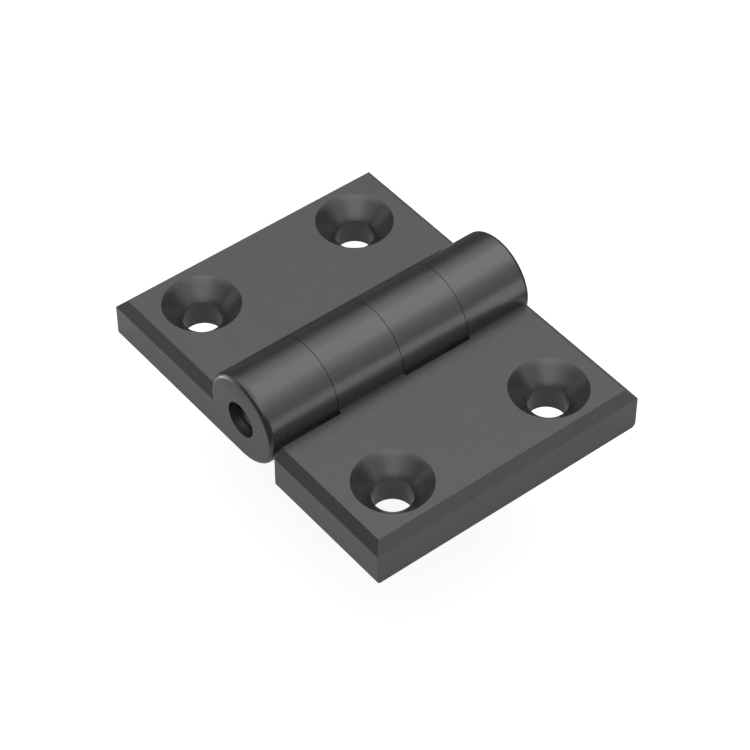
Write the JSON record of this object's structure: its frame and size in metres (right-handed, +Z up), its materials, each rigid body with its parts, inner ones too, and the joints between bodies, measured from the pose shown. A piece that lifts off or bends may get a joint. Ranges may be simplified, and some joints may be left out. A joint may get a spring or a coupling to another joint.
{
  "type": "hinge",
  "caption": "Moulded plastic butt hinge lying open flat: two chamfered leaves with countersunk screw holes, interlocking knuckles and a plain round pin.",
  "frame": {"origin": "centre of the hinge in plan, on the plane that the leaves' undersides lie on", "axes": "+Z up out of the countersunk faces, +X towards the right leaf's free edge, +Y along the pin"},
  "size_m": [0.0648, 0.05, 0.0152],
  "materials": {
    "leaf": "dark grey moulded nylon, satin, with a very fine spark-eroded grain",
    "pin": "drawn steel rod with turned, chamfered ends"
  },
  "bodies": {
    "left": {"left_leaf": "leaf", "hinge_pin": "pin"},
    "right": {"right_leaf": "leaf"}
  },
  "joints": [
    {"name": "fold", "type": "hinge", "parent": "left", "child": "right", "pos_m": [0, 0, 0.0076], "axis": [0, -1, 0], "range_deg": [-90, 180]}
  ]
}
